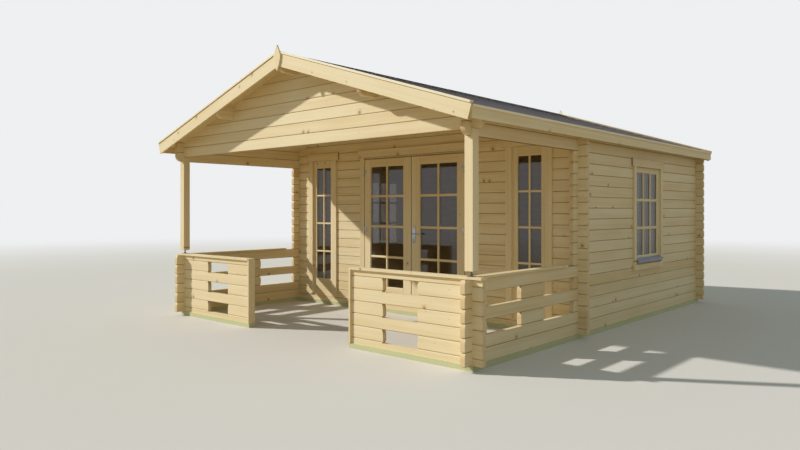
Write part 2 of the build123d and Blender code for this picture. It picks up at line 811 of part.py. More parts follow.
sash_outer = side_inner_x + fixed_sash_thickness
sill_outer = side_x + sill_reach
with BuildPart() as window_sills:
    with BuildSketch(Plane.XZ.offset(-window_inner[1])):
        for side in (-1, 1):
            with BuildLine():
                Polyline((side * sash_outer, sill_low), (side * sill_outer, sill_low),
                         (side * sill_outer, sill_low + casing_thickness),
                         (side * sash_outer, sill_low + sill_height), close=True)
            make_face()
    extrude(amount=window_inner[1] - window_inner[0])
window_sills.part.label = "window_sills"
export_step(window_sills.part, "parts/window_sills.step")

pane_middle = side_inner_x + fixed_sash_thickness / 2
with BuildPart() as window_glass:
    for x in (-pane_middle, pane_middle):
        with BuildSketch(Plane.YZ.offset(x - glass_thickness / 2)):
            add(band(*grown(window_pane, -glass_fit)))
        extrude(amount=glass_thickness)
window_glass.part.label = "window_glass"
export_step(window_glass.part, "parts/window_glass.step")

# Fixed halves of the hinges, on the casing
with BuildPart() as door_hinges:
    for side in (-1, 1):
        for z in hinge_levels:
            with BuildSketch(Plane.XY.offset(z - hinge_length / 2)):
                with Locations((side * hinge_x, hinge_y)):
                    Circle(hinge_pin_radius)
                knuckle = sorted((side * hinge_x, side * (hinge_x + hinge_flap_width)))
                add(band(*knuckle, door_face - 2 * hinge_flap_thickness, door_face - hinge_flap_thickness))
                flap = sorted((side * (door_width / 2 + casing_reveal), side * (hinge_x + hinge_flap_width)))
                add(band(*flap, door_face - hinge_flap_thickness, door_face))
            extrude(amount=hinge_length / 2 - butt_gap)
door_hinges.part.label = "door_hinges"
export_step(door_hinges.part, "parts/door_hinges.step")
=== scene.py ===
import math

import bmesh
import bpy
from mathutils import Matrix, Vector


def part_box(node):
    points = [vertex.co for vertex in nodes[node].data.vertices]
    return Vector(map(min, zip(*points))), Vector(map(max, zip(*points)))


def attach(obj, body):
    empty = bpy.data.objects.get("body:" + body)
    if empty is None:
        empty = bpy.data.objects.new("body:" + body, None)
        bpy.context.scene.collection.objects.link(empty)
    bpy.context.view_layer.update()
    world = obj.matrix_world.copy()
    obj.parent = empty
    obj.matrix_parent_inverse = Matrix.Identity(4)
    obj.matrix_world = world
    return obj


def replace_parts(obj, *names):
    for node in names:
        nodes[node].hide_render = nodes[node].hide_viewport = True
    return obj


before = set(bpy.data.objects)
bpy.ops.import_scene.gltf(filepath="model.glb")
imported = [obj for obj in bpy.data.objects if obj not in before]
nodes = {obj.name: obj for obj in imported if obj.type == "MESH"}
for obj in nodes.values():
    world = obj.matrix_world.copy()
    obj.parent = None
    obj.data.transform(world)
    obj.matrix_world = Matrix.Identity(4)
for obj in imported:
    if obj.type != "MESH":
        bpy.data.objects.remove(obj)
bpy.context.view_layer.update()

# Sizes of the cabin, in metres
course = 0.114
base_height = 0.045
side_x = 2.17
log_thickness = 0.044
y_front = -2.63
front_log_middle = y_front + log_thickness / 2
side_log_middle = side_x - log_thickness / 2
eave_courses = 18
roof_pitch = math.radians(17.75)
slope = math.tan(roof_pitch)
slope_cos = math.cos(roof_pitch)
slope_sin = math.sin(roof_pitch)
ridge_height = base_height + eave_courses * course + side_x * slope
roof_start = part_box("left_roof_boards")[0].y
roof_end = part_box("left_roof_boards")[1].y
board_thickness = 0.02
cover_top = 0.026
barge_thickness = 0.02
barge_top = 0.044
barge_front = roof_start - barge_thickness
barge_rear = roof_end + barge_thickness
scarf_y = -0.129
door_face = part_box("door_frame")[0].y
leaf_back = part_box("right_door_leaf")[1].y
glass_thickness = 0.014
sides = ((-1, "left"), (1, "right"))

# Camera at the photograph's place
camera_data = bpy.data.cameras.new("camera")
camera_data.lens = 29.89
camera_data.sensor_width = 36
camera_data.shift_y = -0.01853
camera = bpy.data.objects.new("camera", camera_data)
camera.location = (5.2437, -6.9353, 1.2781)
camera.rotation_euler = (math.pi / 2, 0, math.radians(41.7268))
bpy.context.collection.objects.link(camera)
bpy.context.scene.camera = camera


class Value:
    """A socket of a finish that can be used in sums."""

    def __init__(self, finish, socket):
        self.finish = finish
        self.socket = socket

    def maths(self, operation, *others, **settings):
        return self.finish.node("Math", {"operation": operation, **settings}, self, *others)

    def other(self, name):
        return Value(self.finish, self.socket.node.outputs[name])

    def __add__(self, other):
        return self.maths("ADD", other)

    def __sub__(self, other):
        return self.maths("SUBTRACT", other)

    def __mul__(self, other):
        return self.maths("MULTIPLY", other)

    def __truediv__(self, other):
        return self.maths("DIVIDE", other)

    def __gt__(self, other):
        return self.maths("GREATER_THAN", other)

    def __lt__(self, other):
        return self.maths("LESS_THAN", other)

    def __pow__(self, other):
        return self.maths("POWER", other)

    def __abs__(self):
        return self.maths("ABSOLUTE")

    def __rsub__(self, other):
        return self.finish.node("Math", {"operation": "SUBTRACT"}, other, self)

    __radd__ = __add__
    __rmul__ = __mul__

    def floor(self):
        return self.maths("FLOOR")

    def clamp(self):
        return self.maths("MULTIPLY", 1.0, use_clamp=True)

    def smooth(self, low, high):
        """0 below low, 1 above high, and a soft step between; high may be the lower one."""
        settings = {"interpolation_type": "SMOOTHSTEP"}
        if isinstance(low, (int, float)) and isinstance(high, (int, float)) and low > high:
            return 1 - self.smooth(high, low)
        return self.finish.node("MapRange", settings, self, low, high, 0.0, 1.0)


class Finish:
    """A material, whose patterns are written as sums of values."""

    def __init__(self, name):
        self.material = bpy.data.materials.new(name)
        self.material.use_nodes = True
        self.tree = self.material.node_tree
        self.tree.nodes.clear()
        self.output = self.tree.nodes.new("ShaderNodeOutputMaterial")

    def node(self, kind, settings=(), *places, **sockets):
        """Node with its settings, which come first, and its sockets' values or links, by place or by name."""
        whole_name = kind.startswith(("Geometry", "Function"))
        made = self.tree.nodes.new(kind if whole_name else "ShaderNode" + kind)
        for key, value in dict(settings).items():
            setattr(made, key, value)
        for key, value in [*enumerate(places), *sockets.items()]:
            socket = made.inputs[key if isinstance(key, int) else key.replace("_", " ")]
            if isinstance(value, Value):
                self.tree.links.new(value.socket, socket)
            elif value is not None:
                socket.default_value = value
        return Value(self, made.outputs[0])

    def mix(self, factor, low, high):
        """Colour between two colours."""
        low = low if isinstance(low, Value) else (*low, 1)
        high = high if isinstance(high, Value) else (*high, 1)
        places = [factor, None, None, None, None, None, low, high]
        made = self.node("Mix", {"data_type": "RGBA"}, *places)
        return Value(self, made.socket.node.outputs[2])

    def between(self, factor, low, high):
        """Number between two numbers."""
        return low + factor * (high - low)

    def vector(self, x, y, z):
        return self.node("CombineXYZ", (), x, y, z)

    def axes(self):
        """Object coordinates as three values."""
        place = self.node("TexCoord").other("Object")
        split = self.node("SeparateXYZ", (), place)
        return {name: split.other(name) for name in "XYZ"}

    def facing(self):
        """The surface's direction on the object, as three values."""
        split = self.node("SeparateXYZ", (), self.node("TexCoord").other("Normal"))
        return {name: split.other(name) for name in "XYZ"}

    def noise(self, vector, scale=1.0, detail=2.0, rough=0.5):
        return self.node("TexNoise", {"normalize": True}, Vector=vector, Scale=scale, Detail=detail,
                         Roughness=rough)

    def chance(self, x, y, z=0.0):
        """Random number for a cell."""
        return self.node("TexWhiteNoise", {"noise_dimensions": "3D"}, self.vector(x, y, z))

    def bump(self, height, distance, strength=1.0):
        return self.node("Bump", (), Height=height, Distance=distance, Strength=strength)

    def surface(self, color, roughness, normal=None, **plain):
        """The finish's shader; plain holds the other sockets."""
        shader = self.node("BsdfPrincipled", (), Base_Color=color, Roughness=roughness, Normal=normal,
                           **plain)
        self.tree.links.new(shader.socket, self.output.inputs[0])
        return self.material


# Tones of the timber
pale_spruce = (0.86, 0.755, 0.525)
deep_spruce = (0.73, 0.56, 0.29)
knot_brown = (0.34, 0.18, 0.075)
knot_halo = (0.62, 0.41, 0.19)
# The joint brown also colours painted shade along each log joint
joint_and_shade_brown = (0.21, 0.13, 0.06)
# The seam brown also colours painted shadow lines under the barge strips and round casings and leaves
seam_and_shade_brown = (0.2, 0.1, 0.035)
sawn_pale = (0.74, 0.57, 0.33)
sawn_deep = (0.58, 0.41, 0.21)
treated_green = (0.50, 0.61, 0.36)
zinc_grey = (0.44, 0.42, 0.37)

# Scale of the grain, and how far from a joint's middle its painted shadow and its gap begin and are full
ring_pitch = 0.0052
sawn_ring_pitch = 0.0045
heart_depth = 0.035
knots_per_metre = 3.5
joint_shadow = (0.006, 0.0015)
joint_gap = (0.0022, 0.0012)
widest_course = 0.2


def grain(f, along, across, deep, board, pale, deep_tone, knot_size=1.0):
    """Colour and height of planed softwood: growth rings, streaks, knots and a tone for each board."""
    shifted = along + board * 53
    spot = f.vector(shifted * knots_per_metre, across * knots_per_metre, f.facing_sign * 7.3 + board * 11)
    knots = f.node("TexVoronoi", {"voronoi_dimensions": "2D", "feature": "F1"}, Vector=spot, Scale=1.0,
                   Randomness=0.9)
    size = f.node("SeparateColor", (), knots.other("Color"))
    radius = (size.other("Green") ** 3) * (0.05 * knot_size) + 0.009
    distance = knots.other("Distance")
    core = 1 - distance.smooth(radius * 0.75, radius)
    halo = 1 - distance.smooth(radius * 0.8, radius * 3.2)
    wander = f.noise(f.vector(shifted * 0.8, across * 2.5, deep * 2.5 + board * 29), 1.0, 1.0)
    ripple = f.noise(f.vector(shifted * 3.5, across * 9, deep * 9 + board * 17), 1.0, 1.0)
    offset = f.chance(board * 91, 3.0) * 0.08 - 0.04
    height = across + offset + (wander - 0.5) * 0.11 + (ripple - 0.5) * 0.012
    centre = deep + f.chance(board * 37, 8.0) * 0.05 + 0.02
    ring = (height * height + centre * centre) ** 0.5 + halo * 0.008
    wave = (ring * (2 * math.pi / ring_pitch)).maths("SINE")
    late = (wave * 0.5 + 0.5) ** 3
    streak = f.noise(f.vector(shifted * 0.55, across * 38, deep * 38 + board * 7), 1.0, 3.0, 0.6)
    cloud = f.noise(f.vector(shifted * 1.3, across * 5, deep * 5 + board * 71), 1.0, 2.0)
    board_tone = (f.chance(board * 13, 5.0) - 0.5) * 0.42
    tone = late * 0.36 + (streak - 0.42) * 1.2 + (cloud - 0.5) * 0.9 + board_tone
    color = f.mix((tone + 0.16).clamp(), pale, deep_tone)
    color = f.mix(halo * 0.42, color, knot_halo)
    color = f.mix(core * 0.8, color, knot_brown)
    relief = late * -0.25 + streak * 0.3 + core * 0.5
    return color, relief


def end_grain(f, across, deep, color, ends):
    """Growth rings on a sawn end."""
    below = deep + heart_depth
    middle = (across * across + below * below) ** 0.5
    rings = (middle * (2 * math.pi / sawn_ring_pitch)).maths("SINE") * 0.5 + 0.5
    sawn = f.mix(rings * 0.4, sawn_pale, sawn_deep)
    return f.mix(ends * 0.75, color, sawn)


def planed(f, color, relief, roughness, metallic=0.0):
    """Shader of a planed face."""
    normal = f.bump(relief, 0.0006, 0.6)
    return f.surface(color, roughness, normal, Specular_IOR_Level=0.35, Metallic=metallic)


def timber(name, along, pitch=None, start=0.0, seed=0.0, turned=None, seams_and_shadows=(), pale=pale_spruce,
           deep_tone=deep_spruce, knot_size=1.0, sloped=False, stain=None, joint_depth=0.85, metal=None):
    """Planed spruce whose grain runs along one axis.
    pitch and start divide it into boards, turned gives the part whose grain runs along another axis,
    the dark lines are joints and painted shadow lines, stain colours it, and metal gives the part that is
    plated steel."""
    f = Finish(name)
    place = f.axes()
    facing = f.facing()
    if sloped:
        place = dict(place, Z=place["Z"] + abs(place["X"]) * slope)
    across_name, deep_name = {"X": ("Z", "Y"), "Y": ("Z", "X"), "Z": ("X", "Y")}[along]
    f.facing_sign = facing[deep_name].maths("SIGN") + facing[across_name].maths("SIGN") * 3
    ends = abs(facing[along]) > 0.6

    def coordinates(along, across, deep):
        return f.vector(place[along], place[across], place[deep])

    lie = coordinates(along, across_name, deep_name)
    if turned:
        mask, other_along, other_across, other_deep = turned(f, place)
        places = [mask, None, None, None, lie, coordinates(other_along, other_across, other_deep)]
        mixed = f.node("Mix", {"data_type": "VECTOR"}, *places)
        lie = Value(f, mixed.socket.node.outputs[1])
        seed = mask * 3 + seed
    split = f.node("SeparateXYZ", (), lie)
    length, across, deep = (split.other(axis) for axis in "XYZ")
    joint = None
    if pitch:
        cell = ((across - start) / pitch).floor()
        board = f.chance(cell, seed)
        across = across - cell * pitch - (start + pitch / 2)
        if pitch < widest_course:
            joint = pitch / 2 - abs(across)
    else:
        board = f.chance(seed, 0.5)
    color, relief = grain(f, length, across, deep, board, pale, deep_tone, knot_size)
    if not turned:
        color = end_grain(f, across, deep, color, ends)
    if joint:
        level_face = 1 - ends * 0.8
        # Painted shade along each joint, then the joint's own dark gap line
        color = f.mix(joint.smooth(*joint_shadow) * level_face * 0.3, color, joint_and_shade_brown)
        color = f.mix(joint.smooth(*joint_gap) * level_face * joint_depth, color, joint_and_shade_brown)
    # Dark lines: joints, and painted shadow lines under the strips and round the casings
    for dark_line in seams_and_shadows:
        color = f.mix(dark_line(f, place) * 0.72, color, seam_and_shade_brown)
    if stain:
        color = stain(f, place, color)
    roughness = f.between(relief, 0.6, 0.52)
    metallic = 0.0
    if metal:
        metallic = metal(f, place)
        color = f.mix(metallic, color, zinc_grey)
        roughness = roughness - metallic * 0.12
    return planed(f, color, relief, roughness, metallic)


def line(value, at, half=0.0009):
    """Thin line where a value passes a place."""
    return 1 - abs(value - at).smooth(half * 0.6, half * 1.4)


def paint(finish, *names):
    """Gives CAD nodes a finish."""
    for name in names:
        node = nodes[name]
        node.data.materials.clear()
        node.data.materials.append(finish)


# Log walls, one board to a course
cross_start = base_height - course / 2
room_front = [name for name in nodes if name.startswith("room_front")]
front_panels = [name for name in nodes if name.endswith("front_panel")]
paint(timber("spruce_logs_across", "X", course, cross_start, 1), "back_wall", *room_front)
paint(timber("spruce_logs_front_panels", "X", course, cross_start, 3, joint_depth=0.5), *front_panels)
paint(timber("spruce_logs_porch_gable", "X", course, cross_start, 2, joint_depth=0.45), "porch_gable")
for number, (_, name) in enumerate(sides):
    finish = timber(f"spruce_logs_{name}_side", "Y", course, base_height, 4 + number)
    paint(finish, *[node for node in nodes if node.startswith(name + "_wall")])

# Posts, rails and roof timber
front_cap_back = y_front + 0.067
fascia_middle = 2.03
scarf_slant = 0.45
strip_lap = 0.0125
purlin_spacing = 1.1


def front_caps(f, place):
    """The caps over the front panels run across."""
    return place["Y"] < front_cap_back, "X", "Y", "Z"


def fascia_scarf(f, place):
    """Slanted joint between a fascia's two lengths."""
    return line(place["Y"] - place["Z"] * scarf_slant, scarf_y - fascia_middle * scarf_slant, 0.0016)


def strip_shadow(f, place):
    """Painted shadow line under the cap strip along a barge board's upper edge."""
    return line(place["Z"], ridge_height + (barge_top - strip_lap) / slope_cos, 0.0022)


paint(timber("spruce_posts", "Z", seed=8), "porch_posts", "rail_end_boards")
paint(timber("spruce_caps", "Y", seed=9, turned=front_caps), "rail_caps")
paint(timber("spruce_fascias", "Y", seed=10, seams_and_shadows=[fascia_scarf]), "fascias")
paint(timber("spruce_purlins", "Y", purlin_spacing, -1.5 * purlin_spacing, seed=11), "purlins")
paint(timber("spruce_barge_boards", "X", seed=12, sloped=True, knot_size=1.2, seams_and_shadows=[strip_shadow]),
      "barge_boards")
paint(timber("spruce_finials", "Z", seed=13), "finials")

# Pressure-treated bearers
side_bearer_inner = 2.1127


def green_stain(f, place, color):
    """Green of the treatment, uneven."""
    patches = f.noise(f.vector(place["X"], place["Y"], place["Z"] * 2), 3.0, 4.0, 0.6)
    return f.mix(patches.smooth(0.2, 0.75) * 0.32 + 0.22, color, treated_green)


def cross_bearers(f, place):
    """The bearers between those under the side walls run across."""
    return abs(place["X"]) < side_bearer_inner, "X", "Z", "Y"


treated = timber("treated_bearers", "Y", seed=14, turned=cross_bearers, stain=green_stain,
                 pale=(0.66, 0.64, 0.41), deep_tone=(0.50, 0.48, 0.28))
paint(treated, "base_beams")

# Joinery, whose rails and headers have their grain across. A leaf's stiles and rails are given by their edges
door_header = base_height + 1.908
meeting_stile = 0.126
hinge_stile = 0.692
lower_rail = 0.310
upper_rail = 1.837
side_light_x = 1.612
side_light_half = 0.146
window_middle = y_front + 3.59
window_half = 0.312
window_header = base_height + 1.736


def header_above(height):
    """The header of a casing runs across."""
    def turned(f, place):
        return place["Z"] > height, "X", "Z", "Y"
    return turned


def sash_rails(centre, half, axis, header):
    """The rails between a sash's stiles and the header over it run across."""
    deep = "Y" if axis == "X" else "X"

    def turned(f, place):
        middle = abs(place[axis]) if axis == "X" else place[axis]
        inside = abs(middle - centre) < half
        over = place["Z"] > header
        return (inside + over).clamp(), axis, "Z", deep
    return turned


def header_seam(height):
    """Joint under a casing's header."""
    def dark_line(f, place):
        return line(place["Z"], height)
    return dark_line


def rim_shadow(node, axis, half=0.0025):
    """Painted contact shadow round a casing's outer edge, alike on both sides of the cabin's middle."""
    low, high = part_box(node)

    def edge(f, place):
        if axis == "X":
            outer = line(abs(place["X"]), high.x, half)
            inner = line(abs(place["X"]), low.x, half) if low.x > 0 else 0.0
        else:
            outer = line(place["Y"], low.y, half)
            inner = line(place["Y"], high.y, half)
        return (outer + inner + line(place["Z"], high.z, half)).clamp() * 0.8
    return edge


def leaf_turned(f, place):
    """The rails between a leaf's stiles run across."""
    across = abs(place["X"])
    return (across > meeting_stile) * (across < hinge_stile), "X", "Z", "Y"


def leaf_seams(f, place):
    """Joints between a leaf's stiles and rails."""
    across = abs(place["X"])
    rail = (place["Z"] > upper_rail) + (place["Z"] < lower_rail)
    return (line(across, meeting_stile) + line(across, hinge_stile)) * rail


def leaf_hinges(f, place):
    """The hinge halves that are screwed on the leaves stand in front of the wood."""
    return place["Y"] < door_face - 0.001


# Casings and leaves get painted contact shadow round their outer edges
paint(timber("spruce_door_frame", "Z", seed=15, turned=header_above(door_header),
             seams_and_shadows=[header_seam(door_header), rim_shadow("door_frame", "X")]), "door_frame")
paint(timber("spruce_door_leaves", "Z", seed=17, turned=leaf_turned, metal=leaf_hinges,
             seams_and_shadows=[leaf_seams, rim_shadow("right_door_leaf", "X")]), "left_door_leaf", "right_door_leaf")
paint(timber("spruce_side_lights", "Z", seed=18,
             turned=sash_rails(side_light_x, side_light_half, "X", door_header),
             seams_and_shadows=[header_seam(door_header), rim_shadow("right_sidelight_frame", "X")]),
      "left_sidelight_frame", "right_sidelight_frame")
paint(timber("spruce_side_windows", "Z", seed=19,
             turned=sash_rails(window_middle, window_half, "Y", window_header),
             seams_and_shadows=[header_seam(window_header), rim_shadow("right_window_frame", "Y")]),
      "left_window_frame", "right_window_frame")


# Glass
# Dark brown of the half-opaque panes: painted shade of the dark room behind them
painted_room_shade = (0.055, 0.035, 0.018, 1)


def clear_glass(name):
    """Pane that shows the room behind it through its see-through half; its own dark brown is painted shade of
    that dark room. It has a faint film.
    """
    f = Finish(name)
    place = f.axes()
    film = f.noise(f.vector(place["X"], place["Y"], place["Z"]), 2.5, 3.0)
    return f.surface(painted_room_shade, f.between(film, 0.0, 0.05), Alpha=0.52, IOR=1.75, Specular_IOR_Level=0.75)


paint(clear_glass("double_glazing"), "left_door_glass", "right_door_glass", "sidelight_glass", "window_glass")


# Metal
def coated_metal(name, color, roughness, metallic=1.0, scratch=0.12):
    """Metal or coating with a hazy tone and fine scratches."""
    f = Finish(name)
    place = f.axes()
    lie = f.vector(place["X"], place["Y"], place["Z"])
    marks = f.noise(lie, 60.0, 4.0, 0.65)
    haze = f.noise(lie, 9.0, 2.0)
    dulled = f.mix(haze.smooth(0.3, 0.75), color, tuple(part * 0.72 for part in color))
    uneven = f.between(marks, roughness - scratch, roughness + scratch)
    return f.surface(dulled, uneven, f.bump(marks, 0.0002, 0.4), Metallic=metallic)


paint(coated_metal("zinc_steel", zinc_grey, 0.46), "door_hinges")
dark_zinc = coated_metal("dark_zinc_steel", (0.15, 0.15, 0.16), 0.45)
paint(dark_zinc, "post_feet")
satin_steel = coated_metal("satin_handle", (0.40, 0.44, 0.45), 0.34)
paint(coated_metal("grey_blue_coating", (0.20, 0.24, 0.36), 0.38, 0.0, 0.06), "window_sills")


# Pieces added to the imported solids
def added_piece(name, mesh, body, finish=None):
    """Puts a finished mesh on its body."""
    if finish:
        mesh.materials.clear()
        mesh.materials.append(finish)
    piece = bpy.data.objects.new(name, mesh)
    mesh.name = name
    bpy.context.collection.objects.link(piece)
    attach(piece, body)
    return piece


def mesh_of(work, name):
    """Mesh of finished work, its faces turned outwards."""
    bmesh.ops.recalc_face_normals(work, faces=work.faces)
    mesh = bpy.data.meshes.new(name)
    work.to_mesh(mesh)
    work.free()
    return mesh


def pieced_timber(name, pale=pale_spruce, deep_tone=deep_spruce, knot_size=1.0):
    """Spruce of separate lengths, whose grain follows the mesh's own lie and board attributes."""
    f = Finish(name)
    facing = f.facing()
    lie = f.node("Attribute", {"attribute_name": "lie"}).other("Vector")
    board = f.node("Attribute", {"attribute_name": "board"}).other("Fac")
    split = f.node("SeparateXYZ", (), lie)
    length, across, deep = (split.other(axis) for axis in "XYZ")
    f.facing_sign = facing["Z"].maths("SIGN") + facing["X"].maths("SIGN") * 3
    color, relief = grain(f, length, across, deep, board, pale, deep_tone, knot_size)
    return planed(f, color, relief, f.between(relief, 0.6, 0.52))


joinery_spruce = pieced_timber("spruce_joinery", knot_size=0.4)
# Pale spruce of the barge and eaves strips: a painted highlight, paler than the other spruce
painted_highlight_strips = pieced_timber("spruce_strips_painted_highlight", (0.93, 0.86, 0.68), (0.84, 0.72, 0.48), 0.3)
board_spruce = pieced_timber("spruce_boards")


class Joinery:
    """A mesh of sawn and moulded lengths, each with its own grain."""

    def __init__(self):
        self.mesh = bmesh.new()
        self.lie = self.mesh.verts.layers.float_vector.new("lie")
        self.board = self.mesh.verts.layers.float.new("board")
        self.count = 0

    def length(self, section, start, end, across, out, near=0.0, far=0.0, board=None):
        """Length between two points. The section lies on across and out, near and far slant its ends."""
        start, end, across, out = (Vector(v) for v in (start, end, across, out))
        run = (end - start).normalized()
        self.count += 1
        rings = []
        for place, slant in ((0, near), ((end - start).length, far)):
            ring = []
            for u, v in section:
                along = place + u * slant
                vert = self.mesh.verts.new(start + run * along + across * u + out * v)
                vert[self.lie] = (along, u, v)
                vert[self.board] = (board or self.count) * 0.37
                ring.append(vert)
            rings.append(ring)
        near_ring, far_ring = rings
        count = len(section)
        for n in range(count):
            after = (n + 1) % count
            self.mesh.faces.new((near_ring[n], near_ring[after], far_ring[after], far_ring[n]))
        self.mesh.faces.new(near_ring[::-1])
        self.mesh.faces.new(far_ring)

    def made(self, name):
        return mesh_of(self.mesh, name)


def rounded_edge(near, far, low, high, steps=4):
    """Quarter round from a low outer edge to a high inner one."""
    points = []
    for n in range(steps + 1):
        turn = math.pi / 2 * n / steps
        points.append((near + (far - near) * (1 - math.cos(turn)), low + (high - low) * math.sin(turn)))
    return points


# Glazing bars and beads on both faces of each pane
bar_flat = 0.006
bead_flat = 0.004
edge_height = 0.003
bar_lap = 0.008


def glazing(wood, corner, across, up, out, width, height, columns, rows, depth, bar_half, bead_width):
    """Beads round a pane, and the bars that divide it, on one side of the glass."""
    corner, across, up, out = (Vector(v) for v in (corner, across, up, out))
    bar_edge = rounded_edge(-bar_half, -bar_flat, edge_height, depth)
    bar = [(-bar_half, 0), *bar_edge, *[(-u, v) for u, v in bar_edge[::-1]], (bar_half, 0)]
    bead_edge = rounded_edge(bead_width, bead_flat, edge_height, depth)
    bead = [(0, 0), (0, depth), *bead_edge[::-1], (bead_width, 0)]
    corners = [corner, corner + across * width, corner + across * width + up * height, corner + up * height]
    inward = [up, -across, -up, across]
    for n in range(4):
        wood.length(bead, corners[n], corners[(n + 1) % 4], inward[n], out, 1, -1)
    uprights = [width * n / columns for n in range(1, columns)]
    for x in uprights:
        foot = corner + across * x
        wood.length(bar, foot + up * bar_lap, foot + up * (height - bar_lap), across, out)
    places = [0, *uprights, width]
    for n in range(1, rows):
        level_point = corner + up * (height * n / rows)
        for left, right in zip(places, places[1:]):
            start = level_point + across * (left + bar_lap)
            end = level_point + across * (right - bar_lap)
            wood.length(bar, start, end, up, out)


x_axis, y_axis, z_axis = Vector((1, 0, 0)), Vector((0, 1, 0)), Vector((0, 0, 1))
for side, name in sides:
    low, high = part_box(f"{name}_door_glass")
    wood = Joinery()
    for y, out in ((low.y, -y_axis), (high.y, y_axis)):
        glazing(wood, (low.x, y, low.z), x_axis, z_axis, out, high.x - low.x, high.z - low.z,
                columns=2, rows=4, depth=0.012, bar_half=0.015, bead_width=0.011)
    added_piece(f"{name}_door_glazing_bars", wood.made("bars"), f"{name}_leaf", joinery_spruce)

low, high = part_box("sidelight_glass")
pane_width = 2 * (high.x - side_light_x)
wood = Joinery()
for left in (low.x, high.x - pane_width):
    for y, out in ((low.y, -y_axis), (high.y, y_axis)):
        glazing(wood, (left, y, low.z), x_axis, z_axis, out, pane_width, high.z - low.z,
                columns=2, rows=4, depth=0.009, bar_half=0.0115, bead_width=0.0065)
added_piece("sidelight_glazing_bars", wood.made("bars"), "root", joinery_spruce)

low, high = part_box("window_glass")
wood = Joinery()
for side in (-1, 1):
    for x, out in ((high.x, side), (high.x - glass_thickness, -side)):
        glazing(wood, (side * x, low.y, low.z), y_axis, z_axis, (out, 0, 0), high.y - low.y, high.z - low.z,
                columns=3, rows=3, depth=0.0105, bar_half=0.0168, bead_width=0.011)
added_piece("window_glazing_bars", wood.made("bars"), "root", joinery_spruce)


# Strips on the barge boards' upper edges and along the eaves
def roof_point(side, x, y, out):
    """Point over the roof boards' underside, out measured square to the slope."""
    return Vector((side * x, y, ridge_height - x * slope + out / slope_cos))


def slope_turn(side):
    """Turn of a flat sheet to one side's slope, its length down the roof."""
    rows = ((side * slope_cos, 0, side * slope_sin), (0, 1, 0), (-slope_sin, 0, slope_cos))
    return Matrix(rows).to_4x4()


strip_thickness = 0.01
strip_end = 0.0035
finial_side = 0.056
barge_tip = 2.318
strip_section = [(0, 0), (0.0372, 0), (0.0372, 0.008), (0.0352, strip_thickness), (0, strip_thickness)]
nose_section = [(0, -0.01), (0, strip_thickness), (-0.006, strip_thickness), (-0.008, 0.008),
                (-0.008, -0.009), (-0.007, -0.01)]
wood = Joinery()
for end, inward in ((barge_front, 1), (barge_rear, -1)):
    for side in (-1, 1):
        board = 3 + side + inward * 0.5
        out = Vector((side * slope_sin, 0, slope_cos))
        inner = Vector((0, inward, 0))
        lower = roof_point(side, barge_tip, end, barge_top)
        for section, upper_x in ((strip_section, strip_end), (nose_section, finial_side)):
            wood.length(section, roof_point(side, upper_x, end, barge_top), lower, inner, out, board=board)
added_piece("barge_cap_strips", wood.made("strips"), "root", painted_highlight_strips)

eave_x = 2.3252
eave_end_gap = 0.001
eave_section = [(-0.005, -0.014), (0.0025, -0.014), (0.0042, -0.012), (0.0042, 0.004), (0.0025, 0.0056),
                (0.0002, 0.0056), (0.0002, -0.0062), (-0.005, -0.0062)]
wood = Joinery()
for side in (-1, 1):
    x = side * eave_x
    height = roof_point(side, eave_x, 0, cover_top).z
    for start, end in ((roof_start + eave_end_gap, scarf_y), (scarf_y, roof_end - eave_end_gap)):
        wood.length(eave_section, (x, start, height), (x, end, height), (side, 0, 0), z_axis)
added_piece("eaves_strips", wood.made("strips"), "root", painted_highlight_strips)


